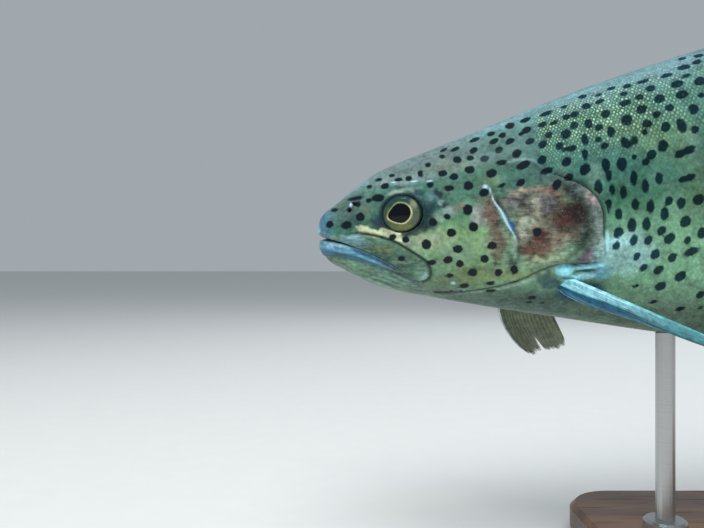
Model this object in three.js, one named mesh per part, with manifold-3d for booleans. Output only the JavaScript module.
// Rainbow trout: a life-size still model on a plain display stand.
//
// Units are millimetres, +Z is up, the head points to -X and the fish's left side faces -Y.
// The fish is worked out in a frame of its own: s runs from the snout to the tail, y goes
// across it and z up. place() then tips that frame nose down, sways its tail and sets it over
// the stand, whose base has the origin in the middle of its underside.
// The body is lofted whole through one table of stations and parted with thin cuts.

import * as THREE from 'three';
import { mergeVertices } from 'three/addons/utils/BufferGeometryUtils.js';
import Module from 'manifold-3d';

const wasm = await Module();
wasm.setup();

// ---------------------------------------------------------------- driving dimensions

const BACKBONE = 495;                 // snout to the end of the backbone
const FLESH_END = 503;                // where the flesh ends over the roots of the tail fin
const NOSE_DOWN = THREE.MathUtils.degToRad(5.5);
const NOSE_HEIGHT = 140;              // the snout's tip over the floor
const BALANCE = 250;                  // the station that stands over the middle of the base
const SWAY_START = 200;               // the tail sways to the right from here
const SWAY = 14;                      // how far, at the end of the backbone
const GAP = 0.3;                      // clearance between neighbours

const SIDES = 28;                     // facets round the body
const RINGS = 38;                     // rings of facets along the backbone

// Sections: station, top, bottom, half width, level of the widest place, and how square the
// section is above (roof) and below (keel) that level; 2 is an ellipse.
const STATIONS = [
  { s: 0, top: 1.5, bottom: 1.5, wide: 0, level: 1.5, roof: 2.3, keel: 1.9 },
  { s: 1.7, top: 8.2, bottom: -8.3, wide: 6, level: 0.5, roof: 2.3, keel: 1.9 },
  { s: 9.5, top: 13.8, bottom: -15.3, wide: 12, level: -1.5, roof: 2.3, keel: 1.9 },
  { s: 24.7, top: 23.7, bottom: -24.2, wide: 17.5, level: -3.5, roof: 2.3, keel: 1.85 },
  { s: 42.5, top: 30.1, bottom: -29.8, wide: 22.3, level: -4.5, roof: 2.3, keel: 1.8 },
  { s: 73.6, top: 39.2, bottom: -38.2, wide: 28, level: -5, roof: 2.2, keel: 1.8 },
  { s: 109, top: 49.8, bottom: -47, wide: 30.5, level: -4, roof: 2.1, keel: 1.85 },
  { s: 162, top: 62.6, bottom: -59.3, wide: 34, level: -3, roof: 2, keel: 1.95 },
  { s: 235, top: 72, bottom: -66, wide: 37.5, level: -3, roof: 2, keel: 2 },
  { s: 300, top: 65, bottom: -58.5, wide: 34, level: -1, roof: 2, keel: 2 },
  { s: 361, top: 51, bottom: -44.5, wide: 25.2, level: 1, roof: 2, keel: 2 },
  { s: 411, top: 37, bottom: -32, wide: 16.5, level: 1.5, roof: 2, keel: 2 },
  { s: 455, top: 27, bottom: -25.6, wide: 10.2, level: 0.5, roof: 2, keel: 2 },
  { s: 490, top: 27, bottom: -26.5, wide: 6.6, level: 0, roof: 2, keel: 2 },
  { s: 503, top: 29.5, bottom: -29.5, wide: 2.4, level: 0, roof: 2, keel: 2 },
];

// Where the body is parted across.
const NAPE = 90;
const MID_TRUNK = 236;
const VENT = 356;

// The mouth: its line on the side of the head, and how far the lips part at the front.
const MOUTH_LINE = [[-3, 0.6], [3.5, -1.9], [12, -5.1], [21, -9.8], [30, -15.3], [38, -21.6]];
const GAPE = 2.2;
const GAPE_END = 12;

// Side outlines, drawn as closed smooth loops through these points.
const JAW_HINGE = [[46, -26], [53, -33.5]];
const MAXILLA = [
  [9.5, -2.6], [13.5, -0.8], [20, -1.4], [30, -5.8], [38.5, -12], [43.9, -18], [44, -21.8],
  [40.5, -23.2], [35, -20], [27, -13.8], [16, -7.4],
];
const MAXILLA_PROUD = 0.5;
const MAXILLA_THICK = 1.6;
const GILL_COVER = [
  [69, 13], [76, 18.5], [90, 16], [102, 10.5], [109.5, 3.5], [112, -8], [110.5, -18.5],
  [105, -21.8], [96, -21.5], [86, -24.5], [74, -28.5], [60, -30.5], [55, -28], [66, -21],
  [72.5, -13], [72.5, -2], [69.5, 6],
];
const GILL_COVER_THICK = 3.4;

// The eye, a lens-shaped body seated in an open socket.
const EYE = { s: 35.4, z: 5.7, halfLength: 7.9, halfHeight: 7.4, front: 2.3, back: 5.6 };
const EYE_SINK = 0.7;                 // the rim lies this far inside the cheek
const EYE_SIDES = 18;
const EYE_FORWARD = THREE.MathUtils.degToRad(11);

// Fins. Each is a fan of rays between two root points: tip vectors for its first and last
// ray, how far the middle of its edge bulges, and how its first and last rays bend.
const FINS = {
  dorsal_fin: {
    roots: [[228, 0, 67], [298, 0, 60]], tips: [[36, 0, 55], [25, 0, 21]],
    bulge: [5, 0, 6], bends: [[-4, 0, 4], [-3, 0, 3]], thick: [3.4, 0.8],
  },
  adipose_fin: {
    roots: [[403, 0, 36], [411, 0, 33.5]], tips: [[22, 0, 18], [20, 0, 8]],
    bulge: [5, 0, 2], bends: [[-7, 0, 5], [-2, 0, 3]], thick: [4, 2],
  },
  caudal_fin: {
    roots: [[490, 0, 24.5], [490, 0, -24.5]], tips: [[94, 0, 51], [92, 0, -50]],
    bulge: [-20, 0, 0], bends: [[-4, 0, 6], [-4, 0, -6]], thick: [4.6, 0.8],
  },
  anal_fin: {
    roots: [[362, 0, -41], [411, 0, -29]], tips: [[22, 0, -47], [19, 0, -19]],
    bulge: [3, 0, -4], bends: [[-4, 0, -4], [-3, 0, -3]], thick: [3.2, 0.8],
  },
  pectoral_fin_left: {
    roots: [[92, -20, -23.5], [98.5, -18.5, -35]], tips: [[36.5, -63, -27], [21.5, -27.5, -6.5]],
    bulge: [2, -6, -5], bends: [[2, -1, -8], [0, 0, 1]], thick: [3.8, 0.8],
  },
  pectoral_fin_right: {
    roots: [[81.5, 20, -24.8], [97.8, 18, -33]], tips: [[28, 49.5, -48.6], [20, 34, -32.8]],
    bulge: [-11, 5.5, 0.8], bends: [[43, 1, 4.5], [-3, -0.5, -5.7]], thick: [3.4, 0.8],
  },
  pelvic_fin_left: {
    roots: [[258, -15, -55], [269, -11, -56.5]], tips: [[40, -19, -36], [31, -5, -18]],
    bulge: [5, -2, -5], bends: [[-4, -2, -4], [-3, 0, -3]], thick: [3.2, 0.8],
  },
  pelvic_fin_right: {
    roots: [[258, 15, -55], [269, 11, -56.5]], tips: [[40, 19, -36], [31, 5, -18]],
    bulge: [5, 2, -5], bends: [[-4, 2, -4], [-3, 0, -3]], thick: [3.2, 0.8],
  },
};
const FIN_RAYS = 12;                  // facets across a fin
const FIN_STEPS = 4;                  // facets along a ray
const FIN_CORNER = 0.13;              // how much the outermost rays are shortened

// The stand: a flat base with rounded corners, and two rods with collars.
const BASE = { length: 260, width: 112, height: 14, corner: 22, bevel: 2.5 };
const ROD = { radius: 4, collarRadius: 9, collarHeight: 5, spread: 200, sides: 18 };

// ---------------------------------------------------------------- curves and sections

// A natural cubic spline through the given values, as a function.
function spline(xs, ys) {
  const last = xs.length - 1;
  const bend = new Array(xs.length).fill(0);
  const load = new Array(xs.length).fill(0);
  for (let i = 1; i < last; i++) {
    const before = xs[i] - xs[i - 1];
    const after = xs[i + 1] - xs[i];
    const share = before / (before + after);
    const turn = (ys[i + 1] - ys[i]) / after - (ys[i] - ys[i - 1]) / before;
    const pivot = share * bend[i - 1] + 2;
    bend[i] = (share - 1) / pivot;
    load[i] = (6 * turn / (before + after) - share * load[i - 1]) / pivot;
  }
  bend[last] = 0;
  for (let i = last - 1; i > 0; i--) {
    bend[i] = bend[i] * bend[i + 1] + load[i];
  }
  return (x) => {
    let k = 0;
    while (k < last - 1 && x > xs[k + 1]) k++;
    const step = xs[k + 1] - xs[k];
    const a = (xs[k + 1] - x) / step;
    const b = 1 - a;
    const curve = (a ** 3 - a) * bend[k] + (b ** 3 - b) * bend[k + 1];
    return a * ys[k] + b * ys[k + 1] + curve * step * step / 6;
  };
}

// Profiles run on the root of the station, which makes the snout blunt and round.
const along = (s) => Math.sqrt(s / BACKBONE);
const profile = {};
for (const key of ['top', 'bottom', 'wide', 'level', 'roof', 'keel']) {
  profile[key] = spline(STATIONS.map((row) => along(row.s)), STATIONS.map((row) => row[key]));
}

function sectionAt(s) {
  const section = {};
  for (const key in profile) section[key] = profile[key](along(s));
  return section;
}

// A point of the section's outline: |y / wide|^n + |z / high|^n = 1, at an angle round it.
function outlinePoint(section, angle, grow) {
  const across = Math.cos(angle);
  const up = Math.sin(angle);
  const upper = up >= 0;
  const power = 2 / (upper ? section.roof : section.keel);
  const high = (upper ? section.top - section.level : section.level - section.bottom) + grow;
  const y = (section.wide + grow) * Math.sign(across) * Math.abs(across) ** power;
  const z = section.level + high * Math.sign(up) * Math.abs(up) ** power;
  return [y, z];
}

// How far out the body's side lies at a station and a level.
function sideAt(s, z) {
  const section = sectionAt(s);
  const upper = z >= section.level;
  const power = upper ? section.roof : section.keel;
  const high = upper ? section.top - section.level : section.level - section.bottom;
  return section.wide * (1 - Math.abs((z - section.level) / high) ** power) ** (1 / power);
}

// ---------------------------------------------------------------- solids

function geometryFrom(points, triangles) {
  const geometry = new THREE.BufferGeometry();
  geometry.setAttribute('position', new THREE.Float32BufferAttribute(points.flat(), 3));
  geometry.setIndex(triangles.flat());
  return geometry;
}

function solidFrom(geometry) {
  const bare = geometry.clone();
  bare.deleteAttribute('normal');
  bare.deleteAttribute('uv');
  const merged = mergeVertices(bare, 1e-4);
  return new wasm.Manifold(new wasm.Mesh({
    numProp: 3,
    vertProperties: new Float32Array(merged.attributes.position.array),
    triVerts: new Uint32Array(merged.index.array),
  }));
}

function geometryOf(solid) {
  const mesh = solid.getMesh();
  const geometry = new THREE.BufferGeometry();
  geometry.setAttribute('position', new THREE.BufferAttribute(mesh.vertProperties, 3));
  geometry.setIndex(new THREE.BufferAttribute(mesh.triVerts, 1));
  return geometry;
}

// The largest body of a cut solid, without the slivers that a cut may leave.
function largest(solid) {
  const parts = solid.decompose();
  return parts.reduce((best, part) => (part.volume() > best.volume() ? part : best));
}

// A tube of rings, each a list of points, closed by a fan over each end.
function tube(rings, startCentre, endCentre) {
  const sides = rings[0].length;
  const points = [...rings.flat(), startCentre, endCentre];
  const start = points.length - 2;
  const end = points.length - 1;
  const triangles = [];
  for (let k = 0; k < sides; k++) {
    const next = (k + 1) % sides;
    for (let i = 0; i < rings.length - 1; i++) {
      const a = i * sides;
      const b = a + sides;
      triangles.push([a + k, a + next, b + next], [a + k, b + next, b + k]);
    }
    const lastRing = (rings.length - 1) * sides;
    triangles.push([start, next, k], [end, lastRing + k, lastRing + next]);
  }
  return geometryFrom(points, triangles);
}

// A length of the body, grown or shrunk by a margin.
function bodyTube(from, to, grow = 0) {
  const stops = [from];
  for (let i = 1; i <= RINGS * 1.1; i++) {
    const s = BACKBONE * (i / RINGS) ** 2;
    if (s > from + 0.3 && s < to - 1) stops.push(s);
  }
  stops.push(to);
  const rings = stops.map((s) => {
    const section = sectionAt(Math.max(s, 0.25));
    return Array.from({ length: SIDES }, (_, k) => {
      const [y, z] = outlinePoint(section, (2 * Math.PI * k) / SIDES, grow);
      return [s, y, z];
    });
  });
  const first = sectionAt(Math.max(from, 0.25));
  const blunt = from > 0 ? 0 : 0.3 + grow;
  return tube(rings, [from - blunt, 0, first.level], [to, 0, sectionAt(to).level]);
}

const bodySolid = (from, to, grow) => solidFrom(bodyTube(from, to, grow));

// A smooth closed loop through side-view points [s, z].
function loop(points, count = points.length * 2) {
  const corners = points.map(([s, z]) => new THREE.Vector3(s, 0, z));
  const curve = new THREE.CatmullRomCurve3(corners, true, 'centripetal');
  return curve.getPoints(count).slice(0, -1).map((p) => [p.x, p.z]);
}

// The same loop moved outwards by a margin.
function widened(outline, margin) {
  const clockwise = THREE.ShapeUtils.area(outline.map(([s, z]) => new THREE.Vector2(s, z))) < 0;
  const out = clockwise ? -margin : margin;
  return outline.map(([s, z], i) => {
    const [s0, z0] = outline.at(i - 1);
    const [s1, z1] = outline[(i + 1) % outline.length];
    const run = Math.hypot(s1 - s0, z1 - z0);
    return [s + out * (z1 - z0) / run, z - out * (s1 - s0) / run];
  });
}

// A side-view outline carried across the fish from one y to another.
function prism(outline, nearY, farY) {
  const shape = new THREE.Shape(outline.map(([s, z]) => new THREE.Vector2(s, z)));
  const geometry = new THREE.ExtrudeGeometry(shape, { depth: farY - nearY, bevelEnabled: false });
  geometry.rotateX(Math.PI / 2);
  geometry.translate(0, farY, 0);
  return solidFrom(geometry);
}

// One side of the fish: -1 is its left, 1 its right.
const beside = (outline, side) => (side < 0 ? prism(outline, -80, -4) : prism(outline, 4, 80));

// A plate that follows the body's side, between two depths.
function plate(outline, side, outer, inner) {
  const from = Math.min(...outline.map(([s]) => s)) - 4;
  const to = Math.max(...outline.map(([s]) => s)) + 4;
  return beside(outline, side).intersect(bodySolid(from, to, outer))
    .subtract(bodySolid(from - 4, to + 4, inner));
}

// ---------------------------------------------------------------- the head's pieces

const mouthAt = spline(MOUTH_LINE.map(([s]) => s), MOUTH_LINE.map(([, z]) => z));

function jawOutline() {
  const lip = Array.from({ length: 11 }, (_, i) => -3 + 4.1 * i).map((s) => [s, mouthAt(s)]);
  return [...lip, ...JAW_HINGE, [53, -60], [-3, -60]];
}

function gapeOutline() {
  const stops = Array.from({ length: 8 }, (_, i) => -3 + ((GAPE_END + 3) * i) / 7);
  const half = (s) => (GAPE / 2) * (1 - (s + 3) / (GAPE_END + 3)) + 0.01;
  const upper = stops.map((s) => [s, mouthAt(s) + half(s)]);
  const lower = stops.map((s) => [s, mouthAt(s) - half(s)]);
  return [...upper, ...lower.reverse()];
}

// The eye: a shallow dome in front of its rim and a deeper bowl behind it.
function eyeGeometry(side, grow) {
  const profilePoints = [];
  const steps = 7;
  for (let i = 0; i <= steps; i++) {
    const angle = (Math.PI * i) / steps - Math.PI / 2;
    const depth = Math.sin(angle) < 0 ? EYE.back : EYE.front;
    const radius = i % steps === 0 ? 0 : (1 + grow / EYE.halfLength) * Math.cos(angle);
    profilePoints.push(new THREE.Vector2(radius, (depth + grow) * Math.sin(angle)));
  }
  const geometry = new THREE.LatheGeometry(profilePoints, EYE_SIDES);
  geometry.scale(EYE.halfLength, 1, EYE.halfHeight);
  if (side < 0) geometry.rotateX(Math.PI);
  geometry.rotateZ(side * EYE_FORWARD);
  geometry.translate(EYE.s, side * (sideAt(EYE.s, EYE.z) - EYE_SINK), EYE.z);
  return geometry;
}

const eyeSolid = (side, grow = 0) => solidFrom(eyeGeometry(side, grow));

// The round window through which the eye looks out of its socket.
function eyeWindow(side) {
  const rim = Array.from({ length: EYE_SIDES }, (_, i) => {
    const angle = (2 * Math.PI * i) / EYE_SIDES;
    return [
      EYE.s + (EYE.halfLength + GAP) * Math.cos(angle),
      EYE.z + (EYE.halfHeight + GAP) * Math.sin(angle),
    ];
  });
  const nearest = sideAt(EYE.s, EYE.z) - EYE_SINK;
  return side < 0 ? prism(rim, -60, -nearest) : prism(rim, nearest, 60);
}

// ---------------------------------------------------------------- fins

const lerp3 = (a, b, u) => a.map((value, i) => value + (b[i] - value) * u);

// A fin's middle surface: u goes from its first ray to its last, v from root to tip.
function finPoint(fin, u, v) {
  const root = lerp3(...fin.roots, u);
  const tip = lerp3(...fin.tips, u);
  const bend = lerp3(...fin.bends, u);
  const edge = Math.abs(2 * u - 1) ** 8;
  const reach = v * (1 - FIN_CORNER * edge);
  return root.map((value, i) => (
    value + reach * (tip[i] + 4 * u * (1 - u) * fin.bulge[i]) + reach * (reach - 1) * bend[i]
  ));
}

function finGeometry(fin) {
  const points = [];
  const width = FIN_RAYS + 1;
  for (const sheet of [-1, 1]) {
    for (let j = 0; j <= FIN_STEPS; j++) {
      for (let i = 0; i <= FIN_RAYS; i++) {
        const u = i / FIN_RAYS;
        const v = j / FIN_STEPS;
        const here = new THREE.Vector3(...finPoint(fin, u, v));
        const du = new THREE.Vector3(...finPoint(fin, u + 0.01, v)).sub(here);
        const dv = new THREE.Vector3(...finPoint(fin, u, v + 0.01)).sub(here);
        const half = (fin.thick[0] + (fin.thick[1] - fin.thick[0]) * v) / 2;
        here.addScaledVector(du.cross(dv).normalize(), sheet * half);
        points.push(here.toArray());
      }
    }
  }
  const sheetSize = width * (FIN_STEPS + 1);
  const triangles = [];
  const quad = (a, b, c, d) => triangles.push([a, b, c], [a, c, d]);
  for (let j = 0; j < FIN_STEPS; j++) {
    for (let i = 0; i < FIN_RAYS; i++) {
      const a = j * width + i;
      quad(a, a + width, a + width + 1, a + 1);
      quad(sheetSize + a, sheetSize + a + 1, sheetSize + a + width + 1, sheetSize + a + width);
    }
  }
  const rim = [];
  for (let i = 0; i < FIN_RAYS; i++) rim.push(i);
  for (let j = 0; j < FIN_STEPS; j++) rim.push(j * width + FIN_RAYS);
  for (let i = FIN_RAYS; i > 0; i--) rim.push(FIN_STEPS * width + i);
  for (let j = FIN_STEPS; j > 0; j--) rim.push(j * width);
  rim.forEach((a, k) => {
    const b = rim[(k + 1) % rim.length];
    quad(a, b, b + sheetSize, a + sheetSize);
  });
  return geometryFrom(points, triangles);
}

// ---------------------------------------------------------------- into the model's frame

function place([s, y, z]) {
  const past = Math.max(0, s - SWAY_START) / (BACKBONE - SWAY_START);
  const turn = new THREE.Vector2(s - BALANCE, z).rotateAround(new THREE.Vector2(), NOSE_DOWN);
  const drop = BALANCE * Math.sin(NOSE_DOWN);
  return [turn.x, y + SWAY * past * past, turn.y + NOSE_HEIGHT + drop];
}

function placed(geometry) {
  const moved = geometry.clone();
  const position = moved.attributes.position;
  for (let i = 0; i < position.count; i++) {
    position.setXYZ(i, ...place([position.getX(i), position.getY(i), position.getZ(i)]));
  }
  return moved;
}

// ---------------------------------------------------------------- the stand

function baseGeometry() {
  const { length, width, height, corner, bevel } = BASE;
  const shape = new THREE.Shape();
  const x = length / 2 - bevel - corner;
  const y = width / 2 - bevel - corner;
  shape.absarc(x, y, corner, 0, Math.PI / 2);
  shape.absarc(-x, y, corner, Math.PI / 2, Math.PI);
  shape.absarc(-x, -y, corner, Math.PI, 1.5 * Math.PI);
  shape.absarc(x, -y, corner, 1.5 * Math.PI, 2 * Math.PI);
  const geometry = new THREE.ExtrudeGeometry(shape, {
    depth: height - 2 * bevel,
    bevelThickness: bevel,
    bevelSize: bevel,
    bevelSegments: 1,
    curveSegments: 5,
  });
  return geometry.translate(0, 0, bevel);
}

// A rod on a collar, cut off just under the belly that rests on it.
function rodSolid(x) {
  const { radius, collarRadius, collarHeight, sides } = ROD;
  const foot = BASE.height + GAP;
  const profilePoints = [
    [0, foot], [collarRadius, foot], [collarRadius, foot + collarHeight - 1],
    [collarRadius - 1, foot + collarHeight], [radius, foot + collarHeight],
    [radius, NOSE_HEIGHT], [0, NOSE_HEIGHT],
  ].map(([r, z]) => new THREE.Vector2(r, z));
  const rod = new THREE.LatheGeometry(profilePoints, sides).rotateX(Math.PI / 2);
  rod.translate(x, 0, 0);
  const belly = solidFrom(placed(bodyTube(60, 480, GAP)));
  return largest(solidFrom(rod).subtract(belly));
}

// ---------------------------------------------------------------- cutting the fish apart

const SIDE_NAMES = [[-1, 'left'], [1, 'right']];
const pieces = {};

function buildHead() {
  const gape = prism(gapeOutline(), -60, 60);
  const jaw = jawOutline();
  let head = bodySolid(0, NAPE).subtract(gape).subtract(prism(widened(jaw, GAP), -60, 60));
  let lowerJaw = bodySolid(0, NAPE).subtract(gape).intersect(prism(jaw, -60, 60));
  for (const [side, name] of SIDE_NAMES) {
    const lip = loop(MAXILLA);
    const cover = loop(GILL_COVER);
    const lipRoom = plate(widened(lip, GAP), side, 6, -MAXILLA_THICK - GAP);
    const coverRoom = plate(widened(cover, GAP), side, 6, -GILL_COVER_THICK - GAP);
    head = head.subtract(lipRoom).subtract(coverRoom);
    head = head.subtract(eyeSolid(side, GAP)).subtract(eyeWindow(side));
    lowerJaw = lowerJaw.subtract(lipRoom);
    pieces[`maxilla_${name}`] = largest(plate(lip, side, MAXILLA_PROUD, -MAXILLA_THICK));
    pieces[`gill_cover_${name}`] = largest(plate(cover, side, 0, -GILL_COVER_THICK));
    pieces[`eye_${name}`] = eyeSolid(side);
  }
  pieces.head = largest(head);
  pieces.lower_jaw = largest(lowerJaw);
}

function buildTrunk() {
  let front = bodySolid(NAPE + GAP, MID_TRUNK);
  for (const [side] of SIDE_NAMES) {
    front = front.subtract(plate(widened(loop(GILL_COVER), GAP), side, 6, -GILL_COVER_THICK - GAP));
  }
  pieces.trunk_front = largest(front);
  pieces.trunk_rear = bodySolid(MID_TRUNK + GAP, VENT);
  pieces.tail_stem = bodySolid(VENT + GAP, FLESH_END);
}

function buildFins() {
  const flesh = bodySolid(60, FLESH_END + GAP, GAP);
  const covers = SIDE_NAMES.map(([side]) => (
    plate(widened(loop(GILL_COVER), GAP), side, GAP, -GILL_COVER_THICK)
  ));
  for (const name in FINS) {
    const fin = solidFrom(finGeometry(FINS[name])).subtract(flesh);
    pieces[name] = largest(fin.subtract(covers[0]).subtract(covers[1]));
  }
}

buildHead();
buildTrunk();
buildFins();

// ---------------------------------------------------------------- the model

const finish = (color, roughness, metalness = 0) => (
  new THREE.MeshStandardMaterial({ color, roughness, metalness })
);
const FINISHES = {
  head: finish(0x8c9f74, 0.42),
  lower_jaw: finish(0x9fb0a4, 0.42),
  maxilla: finish(0x849077, 0.4),
  gill_cover: finish(0xa98672, 0.4),
  eye: finish(0x2a2c1e, 0.1),
  trunk: finish(0x87a07c, 0.4),
  tail_stem: finish(0x7f9674, 0.4),
  fin: finish(0x7d8a68, 0.45),
  pectoral_fin: finish(0x8fb4c0, 0.45),
  stand_base: finish(0x5a3f2a, 0.5),
  stand_rod: finish(0xb8b9bb, 0.3, 1),
};

// A name's finish is the first of these that its words fit.
function finishFor(name) {
  if (name in FINISHES) return FINISHES[name];
  const kind = Object.keys(FINISHES).find((key) => name.startsWith(key));
  return kind ? FINISHES[kind] : FINISHES.fin;
}

const trout = new THREE.Group();

function addMesh(name, geometry) {
  const mesh = new THREE.Mesh(geometry, finishFor(name));
  mesh.name = name;
  trout.add(mesh);
}

for (const name in pieces) addMesh(name, placed(geometryOf(pieces[name])));
addMesh('stand_base', baseGeometry());
addMesh('stand_rod_front', geometryOf(rodSolid(-ROD.spread / 2)));
addMesh('stand_rod_rear', geometryOf(rodSolid(ROD.spread / 2)));

export default trout;
